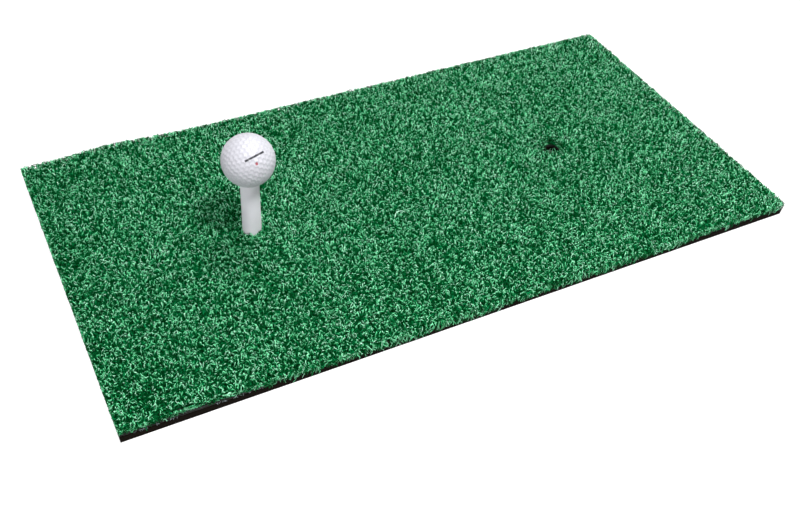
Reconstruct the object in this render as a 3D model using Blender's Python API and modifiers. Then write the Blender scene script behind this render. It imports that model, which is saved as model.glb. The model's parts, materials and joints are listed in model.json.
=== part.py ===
"""Golf hitting mat: tufted turf bonded to a black foam base, with a hollow rubber
tee that comes up through a punched hole, a spare tee hole, and a ball on the tee.

Metres, +Z up. Origin on the floor, under the middle of the mat. +X runs along the
mat's long side. Everything is at its real size and at rest.
"""

import math

import bpy

# ---------------------------------------------------------------- dimensions
MAT_LENGTH = 0.600  # along X
MAT_WIDTH = 0.304  # along Y
GAP = 0.0003  # between two pieces that touch

FOAM_THICKNESS = 0.0060
GLUE_THICKNESS = 0.0003
LATEX_THICKNESS = 0.0006
WOVEN_THICKNESS = 0.0005
MAT_THICKNESS = 0.0142  # floor to the tips of the pile

TEE_X, TEE_Y = -0.146, 0.001
SPARE_X, SPARE_Y = 0.150, -0.001
HOLE_DIAMETER = 0.0170  # punched through every layer

TEE_TOP_DIAMETER = 0.0154
TEE_FOOT_DIAMETER = 0.0158
TEE_BORE_TOP_DIAMETER = 0.0098
TEE_BORE_FOOT_DIAMETER = 0.0092
TEE_SEAT_RADIUS = 0.0070  # outer edge of the dish that the ball sits in
TEE_DISH_RISE = 0.00012  # how much higher the dish is there than at the bore
FLANGE_DIAMETER = 0.0440
FLANGE_THICKNESS = 0.0018
FLANGE_RIM_THICKNESS = 0.0013
RECESS_DIAMETER = 0.0450  # pocket under the foam for the flange
RECESS_DEPTH = FLANGE_THICKNESS + GAP

BALL_DIAMETER = 0.04267
BALL_COVER_THICKNESS = 0.0020
BALL_ABOVE_TURF = 0.0503  # turf tips to the bottom of the ball

BALL_RADIUS = BALL_DIAMETER / 2
BALL_Z = MAT_THICKNESS + BALL_ABOVE_TURF + BALL_RADIUS
CUTTER_OVERRUN = 0.010
ROUND_STEPS = 40
BALL_STEPS = 36

# ---------------------------------------------------------------- clean start
for old in list(bpy.data.objects):
    bpy.data.objects.remove(old, do_unlink=True)


# ---------------------------------------------------------------- collections
def new_collection(name):
    collection = bpy.data.collections.new(name)
    bpy.context.scene.collection.children.link(collection)
    return collection


parts = new_collection("golf_hitting_mat")
cutters = new_collection("cutters")


# ---------------------------------------------------------------- materials
def new_material(name, colour, roughness, metallic=0.0):
    material = bpy.data.materials.new(name)
    material.use_nodes = True
    shader = material.node_tree.nodes["Principled BSDF"]
    shader.inputs["Base Color"].default_value = (*colour, 1.0)
    shader.inputs["Roughness"].default_value = roughness
    shader.inputs["Metallic"].default_value = metallic
    material.diffuse_color = (*colour, 1.0)
    return material


black_foam = new_material("black_foam", (0.012, 0.011, 0.010), 0.90)
clear_glue = new_material("hot_melt_glue", (0.42, 0.36, 0.24), 0.45)
black_latex = new_material("latex_coat", (0.035, 0.035, 0.033), 0.80)
dark_weave = new_material("woven_tape", (0.020, 0.035, 0.026), 0.75)
green_pile = new_material("green_nylon", (0.028, 0.185, 0.075), 0.60)
white_rubber = new_material("white_rubber", (0.60, 0.62, 0.65), 0.55)
core_rubber = new_material("core_rubber", (0.15, 0.32, 0.55), 0.60)
white_cover = new_material("white_cover", (0.88, 0.88, 0.90), 0.20)


# ---------------------------------------------------------------- helpers
def move_to(obj, collection):
    for other in list(obj.users_collection):
        other.objects.unlink(obj)
    collection.objects.link(obj)


def new_empty(name, location, parent=None):
    empty = bpy.data.objects.new(name, None)
    empty.empty_display_size = 0.02
    empty.location = location
    empty.parent = parent
    parts.objects.link(empty)
    return empty


def round_cutter(name, x, y, z_low, z_high, diameter):
    """A cylinder that cuts a hole; it stays hidden."""
    bpy.ops.mesh.primitive_cylinder_add(
        vertices=ROUND_STEPS,
        radius=diameter / 2,
        depth=z_high - z_low,
        location=(x, y, (z_low + z_high) / 2),
    )
    cutter = bpy.context.active_object
    cutter.name = name
    cutter.hide_render = True
    cutter.display_type = "WIRE"
    move_to(cutter, cutters)
    return cutter


def cut(obj, cutter):
    modifier = obj.modifiers.new("cut_" + cutter.name, "BOOLEAN")
    modifier.operation = "DIFFERENCE"
    modifier.solver = "EXACT"
    modifier.object = cutter


def layer(name, z_low, z_high, material, edge_round=0.0, top_edges_only=False):
    """One flat layer of the mat, the full size of the mat, with both tee holes."""
    bpy.ops.mesh.primitive_cube_add(size=1.0)
    obj = bpy.context.active_object
    obj.name = name
    obj.data.name = name
    thickness = z_high - z_low
    for vertex in obj.data.vertices:
        vertex.co.x *= MAT_LENGTH
        vertex.co.y *= MAT_WIDTH
        vertex.co.z *= thickness
    obj.location = (0.0, 0.0, z_low + thickness / 2)
    if edge_round:
        bevel = obj.modifiers.new("rounded_edges", "BEVEL")
        bevel.width = edge_round
        bevel.segments = 3
        if top_edges_only:
            weights = obj.data.attributes.new("bevel_weight_edge", "FLOAT", "EDGE")
            for edge in obj.data.edges:
                top = all(obj.data.vertices[i].co.z > 0 for i in edge.vertices)
                weights.data[edge.index].value = 1.0 if top else 0.0
            bevel.limit_method = "WEIGHT"
    cut(obj, tee_hole)
    cut(obj, spare_hole)
    obj.data.materials.append(material)
    move_to(obj, parts)
    return obj


def turned(name, profile, closed, steps, material, location):
    """A profile in the XZ plane turned about Z with a Screw modifier."""
    mesh = bpy.data.meshes.new(name)
    count = len(profile)
    edges = [(i, i + 1) for i in range(count - 1)]
    if closed:
        edges.append((count - 1, 0))
    mesh.from_pydata([(r, 0.0, z) for r, z in profile], edges, [])
    obj = bpy.data.objects.new(name, mesh)
    parts.objects.link(obj)
    screw = obj.modifiers.new("turned", "SCREW")
    screw.axis = "Z"
    screw.angle = 2 * math.pi
    screw.steps = steps
    screw.render_steps = steps
    screw.use_merge_vertices = True
    screw.merge_threshold = 0.00001
    screw.use_smooth_shade = True
    mesh.materials.append(material)
    obj.location = location
    return obj


def arc(centre_r, centre_z, radius, start_deg, end_deg, count):
    """Points on an arc, angles from +X (outwards) towards +Z, both ends included."""
    points = []
    for i in range(count + 1):
        angle = math.radians(start_deg + (end_deg - start_deg) * i / count)
        points.append(
            (centre_r + radius * math.cos(angle), centre_z + radius * math.sin(angle))
        )
    return points


# ---------------------------------------------------------------- mat layers
foam_low, foam_high = 0.0, FOAM_THICKNESS
glue_low = foam_high + GAP
glue_high = glue_low + GLUE_THICKNESS
latex_low = glue_high + GAP
latex_high = latex_low + LATEX_THICKNESS
woven_low = latex_high + GAP
woven_high = woven_low + WOVEN_THICKNESS
pile_low = woven_high + GAP
pile_high = MAT_THICKNESS

tee_hole = round_cutter(
    "tee_hole_cutter",
    TEE_X,
    TEE_Y,
    -CUTTER_OVERRUN,
    MAT_THICKNESS + CUTTER_OVERRUN,
    HOLE_DIAMETER,
)
spare_hole = round_cutter(
    "spare_hole_cutter",
    SPARE_X,
    SPARE_Y,
    -CUTTER_OVERRUN,
    MAT_THICKNESS + CUTTER_OVERRUN,
    HOLE_DIAMETER,
)
tee_recess = round_cutter(
    "tee_recess_cutter", TEE_X, TEE_Y, -CUTTER_OVERRUN, RECESS_DEPTH, RECESS_DIAMETER
)
spare_recess = round_cutter(
    "spare_recess_cutter",
    SPARE_X,
    SPARE_Y,
    -CUTTER_OVERRUN,
    RECESS_DEPTH,
    RECESS_DIAMETER,
)

mat_origin = new_empty("mat_origin", (0.0, 0.0, 0.0))

foam_base = layer("foam_base", foam_low, foam_high, black_foam, edge_round=0.0004)
cut(foam_base, tee_recess)
cut(foam_base, spare_recess)
glue_film = layer("glue_film", glue_low, glue_high, clear_glue)
latex_coat = layer("latex_backcoat", latex_low, latex_high, black_latex)
woven_backing = layer("woven_backing", woven_low, woven_high, dark_weave)
turf_pile = layer(
    "turf_pile", pile_low, pile_high, green_pile, edge_round=0.0018, top_edges_only=True
)
for piece in (foam_base, glue_film, latex_coat, woven_backing, turf_pile):
    piece.parent = mat_origin

# ---------------------------------------------------------------- rubber tee
# The top is a shallow dish. The ball sits on the edge of the bore, a gap away from
# it, and stands clear of the dish further out. The flange lies on the floor in the
# pocket under the foam.
seat_sphere = BALL_RADIUS + GAP


def seat_height(radius):
    return BALL_Z - math.sqrt(seat_sphere**2 - radius**2)


tee_origin = new_empty("tee_origin", (TEE_X, TEE_Y, 0.0))

top_radius = TEE_TOP_DIAMETER / 2
foot_radius = TEE_FOOT_DIAMETER / 2
bore_top = TEE_BORE_TOP_DIAMETER / 2
seat_z = seat_height(bore_top)
rim_high = seat_z + TEE_DISH_RISE
bore_foot = TEE_BORE_FOOT_DIAMETER / 2
flange_radius = FLANGE_DIAMETER / 2
rim_round = top_radius - TEE_SEAT_RADIUS

profile = []
# rim, rounded over to the outside
profile += arc(TEE_SEAT_RADIUS, rim_high - rim_round, rim_round, 90, 0, 4)
# the long outer side, slightly wider at the foot
foot_z = FLANGE_THICKNESS + 0.0003
stem_top_z = rim_high - rim_round
for i in range(1, 4):
    t = i / 3
    profile.append(
        (
            top_radius + (foot_radius - top_radius) * t,
            stem_top_z + (foot_z - stem_top_z) * t,
        )
    )
# flange: a small fillet, a top that thins towards the rim, a rounded rim
profile.append((foot_radius + 0.0003, FLANGE_THICKNESS))
profile.append((flange_radius - 0.0008, FLANGE_RIM_THICKNESS))
profile += arc(
    flange_radius - 0.0006, FLANGE_RIM_THICKNESS - 0.0006, 0.0006, 60, 0, 3
)
profile.append((flange_radius, 0.0002))
profile.append((flange_radius - 0.0002, 0.0))
# bottom and bore
profile.append((bore_foot + 0.0004, 0.0))
profile.append((bore_foot, 0.0004))
for i in range(1, 3):
    t = i / 2
    profile.append((bore_foot + (bore_top - bore_foot) * t, 0.0004 + (seat_z - 0.0004) * t))
# the dish, up to the rim
for i in range(1, 3):
    t = i / 3
    profile.append(
        (bore_top + (TEE_SEAT_RADIUS - bore_top) * t, seat_z + TEE_DISH_RISE * t**2)
    )

rubber_tee = turned(
    "rubber_tee", profile, True, ROUND_STEPS, white_rubber, (0.0, 0.0, 0.0)
)
rubber_tee.parent = tee_origin

# ---------------------------------------------------------------- ball
ball_centre = new_empty("ball_centre", (TEE_X, TEE_Y, BALL_Z))

cover_inner = BALL_RADIUS - BALL_COVER_THICKNESS
BALL_RINGS = 9
half_gap = GAP / 2
outer_start = math.degrees(math.asin(half_gap / BALL_RADIUS))
inner_start = math.degrees(math.asin(half_gap / cover_inner))
shell = []
shell += arc(0.0, 0.0, BALL_RADIUS, 90, outer_start, BALL_RINGS)
shell += arc(0.0, 0.0, cover_inner, inner_start, 90, BALL_RINGS)
shell[0] = (0.0, BALL_RADIUS)
shell[-1] = (0.0, cover_inner)
cover_upper = turned(
    "ball_cover_upper", shell, False, BALL_STEPS, white_cover, (0.0, 0.0, 0.0)
)
cover_upper.parent = ball_centre

cover_lower = bpy.data.objects.new("ball_cover_lower", cover_upper.data)
parts.objects.link(cover_lower)
lower_screw = cover_lower.modifiers.new("turned", "SCREW")
lower_screw.axis = "Z"
lower_screw.angle = 2 * math.pi
lower_screw.steps = BALL_STEPS
lower_screw.render_steps = BALL_STEPS
lower_screw.use_merge_vertices = True
lower_screw.merge_threshold = 0.00001
lower_screw.use_smooth_shade = True
cover_lower.rotation_euler = (math.pi, 0.0, 0.0)
cover_lower.parent = ball_centre

bpy.ops.mesh.primitive_uv_sphere_add(
    segments=32, ring_count=16, radius=cover_inner - GAP
)
ball_core = bpy.context.active_object
ball_core.name = "ball_core"
ball_core.data.name = "ball_core"
ball_core.data.materials.append(core_rubber)
ball_core.data.shade_smooth()
move_to(ball_core, parts)
ball_core.location = (0.0, 0.0, 0.0)
ball_core.parent = ball_centre

bpy.context.view_layer.update()
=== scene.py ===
import json
import math

import bmesh
import bpy
import numpy as np
from mathutils import Matrix, Vector


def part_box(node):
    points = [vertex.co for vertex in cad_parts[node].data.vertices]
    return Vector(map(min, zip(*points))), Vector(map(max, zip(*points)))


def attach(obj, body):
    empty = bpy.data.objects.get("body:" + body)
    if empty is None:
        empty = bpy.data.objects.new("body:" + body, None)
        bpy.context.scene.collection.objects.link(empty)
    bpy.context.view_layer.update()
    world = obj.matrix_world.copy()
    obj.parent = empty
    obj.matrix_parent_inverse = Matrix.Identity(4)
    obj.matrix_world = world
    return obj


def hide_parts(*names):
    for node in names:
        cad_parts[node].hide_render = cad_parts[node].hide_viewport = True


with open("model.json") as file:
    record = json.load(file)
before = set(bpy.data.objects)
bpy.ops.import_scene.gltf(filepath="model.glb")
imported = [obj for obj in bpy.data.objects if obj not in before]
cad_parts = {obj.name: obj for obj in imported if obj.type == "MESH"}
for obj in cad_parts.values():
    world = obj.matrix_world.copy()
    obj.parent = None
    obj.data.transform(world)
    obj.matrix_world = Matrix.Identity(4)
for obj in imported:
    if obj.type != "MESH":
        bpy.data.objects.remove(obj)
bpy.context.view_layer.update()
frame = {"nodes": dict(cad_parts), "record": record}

# ------------------------------------------------------------------ places, all from the CAD
foam_lo, foam_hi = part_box("foam_base")
glue_lo, glue_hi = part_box("glue_film")
latex_lo, latex_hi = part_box("latex_backcoat")
woven_lo, woven_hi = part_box("woven_backing")
pile_lo, pile_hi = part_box("turf_pile")
tee_lo, tee_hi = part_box("rubber_tee")
upper_lo, upper_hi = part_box("ball_cover_upper")
lower_lo, lower_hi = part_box("ball_cover_lower")

HALF_X = (foam_hi.x - foam_lo.x) / 2
HALF_Y = (foam_hi.y - foam_lo.y) / 2
TEE_X = (tee_lo.x + tee_hi.x) / 2
TEE_Y = (tee_lo.y + tee_hi.y) / 2
FLANGE_R = (tee_hi.x - tee_lo.x) / 2
BALL_X = (upper_lo.x + upper_hi.x) / 2
BALL_Y = (upper_lo.y + upper_hi.y) / 2
BALL_Z = (upper_hi.z + lower_lo.z) / 2
BALL_R = (upper_hi.z - lower_lo.z) / 2
MAT_TOP = pile_hi.z


def hole_from_record(name):
    """Centre of an opening that the record states."""
    for opening in frame["record"]["physics"]["openings"]:
        if opening["name"] == name:
            low, high = opening["box_m"]
            return (low[0] + high[0]) / 2, (low[1] + high[1]) / 2
    raise ValueError(name)


SPARE_X, SPARE_Y = hole_from_record("spare_tee_hole")
HOLE_R = 0.0085
RECESS_R = 0.0225
RECESS_DEPTH = 0.0021
STEM_TOP_R = 0.0077
STEM_FOOT_R = 0.0079
BORE_TOP_R = 0.0049
BORE_FOOT_R = 0.0046
DISH_R = 0.0070
DISH_RISE = 0.00012
FLANGE_TOP = 0.0018
FLANGE_RIM = 0.0013


# ------------------------------------------------------------------ node helpers
class Nodes:
    """Short names for building a material's node tree."""

    def __init__(self, name):
        self.material = bpy.data.materials.new(name)
        self.material.use_nodes = True
        self.tree = self.material.node_tree
        self.shader = self.tree.nodes["Principled BSDF"]

    def node(self, kind, **settings):
        n = self.tree.nodes.new(kind)
        for key, value in settings.items():
            setattr(n, key, value)
        return n

    def link(self, a, b):
        self.tree.links.new(a, b)

    def object_coords(self):
        return self.node("ShaderNodeTexCoord").outputs["Object"]

    def noise(self, coords, scale, detail=2.0, roughness=0.5, distortion=0.0):
        n = self.node("ShaderNodeTexNoise")
        n.inputs["Scale"].default_value = scale
        n.inputs["Detail"].default_value = detail
        n.inputs["Roughness"].default_value = roughness
        n.inputs["Distortion"].default_value = distortion
        self.link(coords, n.inputs["Vector"])
        return n.outputs["Fac"]

    def voronoi(self, coords, scale, feature="F1", randomness=1.0):
        n = self.node("ShaderNodeTexVoronoi", feature=feature)
        n.inputs["Scale"].default_value = scale
        n.inputs["Randomness"].default_value = randomness
        self.link(coords, n.inputs["Vector"])
        return n.outputs["Distance"]

    def ramp(self, fac, stops, interpolation="LINEAR"):
        n = self.node("ShaderNodeValToRGB")
        n.color_ramp.interpolation = interpolation
        elements = n.color_ramp.elements
        while len(elements) > len(stops):
            elements.remove(elements[-1])
        while len(elements) < len(stops):
            elements.new(0.5)
        for element, (position, colour) in zip(elements, stops):
            element.position = position
            element.color = (*colour, 1.0) if len(colour) == 3 else colour
        self.link(fac, n.inputs["Fac"])
        return n.outputs["Color"]

    def map_range(self, value, low, high, to_low, to_high):
        n = self.node("ShaderNodeMapRange")
        n.inputs["From Min"].default_value = low
        n.inputs["From Max"].default_value = high
        n.inputs["To Min"].default_value = to_low
        n.inputs["To Max"].default_value = to_high
        self.link(value, n.inputs["Value"])
        return n.outputs["Result"]

    def mix(self, fac, a, b, blend="MIX"):
        n = self.node("ShaderNodeMix", data_type="RGBA", blend_type=blend)
        for socket, value in ((n.inputs[0], fac), (n.inputs[6], a), (n.inputs[7], b)):
            if isinstance(value, (int, float)):
                socket.default_value = value
            elif isinstance(value, tuple):
                socket.default_value = (*value, 1.0)
            else:
                self.link(value, socket)
        return n.outputs[2]

    def math(self, operation, a, b=None, clamp=False):
        n = self.node("ShaderNodeMath", operation=operation, use_clamp=clamp)
        for socket, value in ((n.inputs[0], a), (n.inputs[1], b)):
            if value is None:
                continue
            if isinstance(value, (int, float)):
                socket.default_value = value
            else:
                self.link(value, socket)
        return n.outputs[0]

    def bump(self, height, strength, distance):
        n = self.node("ShaderNodeBump")
        n.inputs["Strength"].default_value = strength
        n.inputs["Distance"].default_value = distance
        self.link(height, n.inputs["Height"])
        self.link(n.outputs["Normal"], self.shader.inputs["Normal"])

    def set(self, **values):
        for key, value in values.items():
            self.shader.inputs[key.replace("_", " ")].default_value = value


# ------------------------------------------------------------------ materials
def attribute(m, name):
    n = m.node("ShaderNodeAttribute", attribute_type="GEOMETRY")
    n.attribute_name = name
    return n.outputs["Fac"]


def fibre_material(name, shades, roughness, specular, tint):
    """Green nylon. The mesh says which shade each strand has and how deep in the pile
    each point lies; roots are painted darker than tips, as painted shade deep in the pile.
    Colour also changes along a strand, as painted glints and painted shade along its twists."""
    m = Nodes(name)
    shade = m.ramp(attribute(m, "shade"), shades)
    # painted shade: the lower a point lies in the pile, the darker its colour
    depth = m.ramp(
        attribute(m, "depth"),
        [
            (0.00, (0.03, 0.10, 0.06)),
            (0.50, (0.14, 0.30, 0.20)),
            (0.80, (0.62, 0.78, 0.70)),
            (0.94, (1.0, 1.0, 1.0)),
        ],
    )
    coords = m.object_coords()
    # painted glints and shade: fine noise along each strand lifts its colour past its own green in places and
    # darkens it in between
    along = m.noise(coords, 1300.0, 1.0)
    painted_shading = m.ramp(
        along,
        [(0.32, (0.38, 0.55, 0.45)), (0.50, (0.95, 0.98, 0.96)), (0.66, (1.36, 1.22, 1.27))],
    )
    colour = m.mix(1.0, shade, depth, "MULTIPLY")
    colour = m.mix(1.0, colour, painted_shading, "MULTIPLY")
    m.link(colour, m.shader.inputs["Base Color"])
    m.link(m.map_range(along, 0.3, 0.7, *roughness), m.shader.inputs["Roughness"])
    m.shader.inputs["Specular IOR Level"].default_value = specular
    m.shader.inputs["Specular Tint"].default_value = (*tint, 1.0)
    return m.material


def deep_fibre_material():
    return fibre_material(
        "deep_green_nylon",
        [
            (0.00, (0.0002, 0.042, 0.008)),
            (0.50, (0.0006, 0.111, 0.025)),
            (1.00, (0.0070, 0.285, 0.090)),
        ],
        (0.66, 0.54),
        0.03,
        (0.2, 1.0, 0.6),
    )


def pale_fibre_material():
    # the yarn's pale green; its palest shades, near white mint, are partly painted glints of the nylon
    return fibre_material(
        "pale_green_nylon",
        [
            (0.00, (0.0950, 0.680, 0.280)),
            (0.50, (0.2500, 0.930, 0.505)),
            (1.00, (0.5600, 0.990, 0.745)),
        ],
        (0.44, 0.32),
        0.50,
        (0.85, 1.0, 0.94),
    )


def bed_material():
    """The dense lower part of the pile, where the fibres lie across each other."""
    m = Nodes("green_nylon_bed")
    coords = m.object_coords()
    colour = m.ramp(
        m.noise(coords, 900.0, 3.0, 0.6),
        [
            (0.30, (0.0002, 0.040, 0.009)),
            (0.55, (0.0006, 0.100, 0.024)),
            (0.75, (0.0030, 0.180, 0.050)),
        ],
    )
    m.link(colour, m.shader.inputs["Base Color"])
    m.bump(m.noise(coords, 1500.0, 2.0), 0.9, 0.0006)
    m.set(Roughness=0.8)
    m.shader.inputs["Specular IOR Level"].default_value = 0.05
    return m.material


def foam_material():
    m = Nodes("black_closed_cell_foam")
    coords = m.object_coords()
    cells = m.voronoi(coords, 1500.0)
    broad = m.noise(coords, 30.0, 3.0)
    colour = m.mix(
        m.map_range(cells, 0.0, 0.8, 0.0, 1.0),
        (0.0022, 0.0016, 0.0011),
        (0.0078, 0.0056, 0.0037),
    )
    tint = m.ramp(broad, [(0.3, (0.8, 0.8, 0.8)), (0.7, (1.25, 1.2, 1.1))])
    m.link(m.mix(1.0, colour, tint, "MULTIPLY"), m.shader.inputs["Base Color"])
    m.link(m.map_range(broad, 0.3, 0.7, 0.82, 0.95), m.shader.inputs["Roughness"])
    m.bump(cells, 0.55, 0.00025)
    m.shader.inputs["Specular IOR Level"].default_value = 0.04
    return m.material


def latex_material():
    m = Nodes("black_latex_backcoat")
    coords = m.object_coords()
    colour = m.ramp(
        m.noise(coords, 220.0, 3.0),
        [(0.3, (0.0035, 0.0040, 0.0035)), (0.7, (0.0100, 0.0115, 0.0100))],
    )
    m.link(colour, m.shader.inputs["Base Color"])
    m.bump(m.noise(coords, 500.0, 2.0), 0.5, 0.0003)
    m.set(Roughness=0.8)
    m.shader.inputs["Specular IOR Level"].default_value = 0.2
    return m.material


def glue_material():
    m = Nodes("hot_melt_glue_film")
    coords = m.object_coords()
    colour = m.ramp(
        m.noise(coords, 160.0, 2.0),
        [(0.3, (0.005, 0.0045, 0.0035)), (0.7, (0.014, 0.012, 0.009))],
    )
    m.link(colour, m.shader.inputs["Base Color"])
    m.set(Roughness=0.5)
    m.shader.inputs["Specular IOR Level"].default_value = 0.3
    return m.material


def woven_material():
    """Plain weave of flat tapes, 1.3 mm apart."""
    m = Nodes("woven_backing_tape")
    split = m.node("ShaderNodeSeparateXYZ")
    m.link(m.object_coords(), split.inputs[0])
    pitch = 2 * math.pi / 0.0026
    wx = m.math("SINE", m.math("MULTIPLY", split.outputs["X"], pitch))
    wy = m.math("SINE", m.math("MULTIPLY", split.outputs["Y"], pitch))
    weave = m.math("MULTIPLY", wx, wy)
    colour = m.ramp(
        m.map_range(weave, -1.0, 1.0, 0.0, 1.0),
        [(0.2, (0.004, 0.010, 0.006)), (0.8, (0.012, 0.035, 0.018))],
    )
    m.link(colour, m.shader.inputs["Base Color"])
    m.bump(weave, 0.6, 0.0003)
    m.set(Roughness=0.6)
    return m.material


def tee_material():
    """Bluish white moulded rubber with faint smudges and a dry, waxy skin."""
    m = Nodes("white_moulded_rubber")
    coords = m.object_coords()
    smudge = m.noise(coords, 90.0, 4.0, 0.6)
    colour = m.ramp(
        smudge, [(0.30, (0.712, 0.688, 0.738)), (0.70, (0.756, 0.728, 0.776))]
    )
    # painted shade: the stem's colour darkens towards its top, under the ball
    split = m.node("ShaderNodeSeparateXYZ")
    m.link(coords, split.inputs[0])
    painted_stem_shade = m.map_range(split.outputs["Z"], MAT_TOP, tee_hi.z, 0.0, 1.0)
    painted_shading = m.ramp(painted_stem_shade, [(0.0, (1.0, 1.0, 1.0)), (0.5, (0.98, 0.98, 0.985)), (1.0, (0.86, 0.87, 0.87))])
    m.link(m.mix(1.0, colour, painted_shading, "MULTIPLY"), m.shader.inputs["Base Color"])
    m.link(m.map_range(smudge, 0.3, 0.7, 0.50, 0.62), m.shader.inputs["Roughness"])
    m.bump(m.noise(coords, 2200.0, 2.0), 0.12, 0.0002)
    m.shader.inputs["Subsurface Weight"].default_value = 0.10
    m.shader.inputs["Subsurface Radius"].default_value = (0.004, 0.0035, 0.003)
    m.shader.inputs["Subsurface Scale"].default_value = 1.0
    m.shader.inputs["Specular IOR Level"].default_value = 0.4
    return m.material


def ball_material():
    """Glossy white cover, with a plain alignment bar and a dot printed on it."""
    m = Nodes("glossy_white_cover")
    coords = m.object_coords()
    cloud = m.noise(coords, 120.0, 3.0)
    white = m.ramp(cloud, [(0.3, (0.508, 0.508, 0.538)), (0.7, (0.530, 0.530, 0.558))])

    # The marks are shapes in the ball's own coordinates: along, up and out from the
    # middle of the bar.
    def plane(direction):
        n = m.node("ShaderNodeVectorMath", operation="DOT_PRODUCT")
        m.link(coords, n.inputs[0])
        n.inputs[1].default_value = tuple(direction)
        return n.outputs["Value"]

    out = MARK_OUT
    along = MARK_ALONG
    up = out.cross(along)
    a, u, o = plane(along), plane(up), plane(out)
    in_front = m.math("GREATER_THAN", o, 0.0)
    bar = m.math(
        "MULTIPLY",
        m.math("LESS_THAN", m.math("ABSOLUTE", m.math("SUBTRACT", a, 0.0006)), 0.0084),
        m.math("LESS_THAN", m.math("ABSOLUTE", m.math("SUBTRACT", u, 0.0)), 0.00078),
    )
    bar = m.math("MULTIPLY", bar, in_front)
    da = m.math("SUBTRACT", a, -0.0006)
    du = m.math("SUBTRACT", u, -0.0056)
    dot = m.math(
        "LESS_THAN",
        m.math("ADD", m.math("MULTIPLY", da, da), m.math("MULTIPLY", du, du)),
        0.00115**2,
    )
    dot = m.math("MULTIPLY", dot, in_front)
    # painted shade in the dimples: their colour is darkened, most near their rims
    painted_dimple_shade = m.ramp(
        attribute(m, "dimple"),
        [(0.0, (1.0, 1.0, 1.0)), (0.30, (0.80, 0.80, 0.83)), (1.0, (0.93, 0.93, 0.945))],
    )
    white = m.mix(1.0, white, painted_dimple_shade, "MULTIPLY")
    colour = m.mix(bar, white, (0.022, 0.022, 0.028))
    colour = m.mix(dot, colour, (0.33, 0.08, 0.10))
    m.link(colour, m.shader.inputs["Base Color"])
    m.link(m.map_range(cloud, 0.3, 0.7, 0.44, 0.52), m.shader.inputs["Roughness"])
    m.shader.inputs["Coat Weight"].default_value = 0.10
    m.shader.inputs["Coat Roughness"].default_value = 0.22
    m.shader.inputs["Specular IOR Level"].default_value = 0.45
    return m.material


def core_material():
    m = Nodes("ball_core_rubber")
    colour = m.ramp(
        m.noise(m.object_coords(), 260.0, 3.0),
        [(0.3, (0.05, 0.17, 0.36)), (0.7, (0.08, 0.23, 0.44))],
    )
    m.link(colour, m.shader.inputs["Base Color"])
    m.set(Roughness=0.6)
    return m.material


# ------------------------------------------------------------------ mesh helpers
def lift_off_floor(x, y):
    """The mat isn't quite flat: its back edge stands a few millimetres off the floor
    near the left corner, as a mat that was rolled up keeps a slight wave."""
    t = np.clip((np.asarray(y) - 0.03) / (HALF_Y - 0.03), 0, 1)
    across = t * t * (3 - 2 * t)
    return 0.0034 * across * np.exp(-(((np.asarray(x) + 0.222) / 0.042) ** 2))


WAVE_X = (-0.285, -0.262, -0.242, -0.222, -0.202, -0.182, -0.160)
WAVE_Y = (0.04, 0.07, 0.10, 0.128)


def mesh_object(name, verts, faces_flat, loop_totals, smooth=True):
    """A mesh from numpy arrays: corner indices in one row and corners per face."""
    mesh = bpy.data.meshes.new(name)
    verts = np.asarray(verts, np.float32)
    faces_flat = np.asarray(faces_flat, np.int32)
    loop_totals = np.asarray(loop_totals, np.int32)
    mesh.vertices.add(len(verts))
    mesh.vertices.foreach_set("co", verts.ravel())
    mesh.loops.add(len(faces_flat))
    mesh.loops.foreach_set("vertex_index", faces_flat)
    mesh.polygons.add(len(loop_totals))
    starts = np.concatenate([[0], np.cumsum(loop_totals)[:-1]]).astype(np.int32)
    mesh.polygons.foreach_set("loop_start", starts)
    mesh.polygons.foreach_set("loop_total", loop_totals)
    mesh.polygons.foreach_set("use_smooth", np.full(len(loop_totals), smooth, bool))
    mesh.update(calc_edges=True)
    mesh.validate()
    obj = bpy.data.objects.new(name, mesh)
    bpy.context.scene.collection.objects.link(obj)
    return obj


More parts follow.
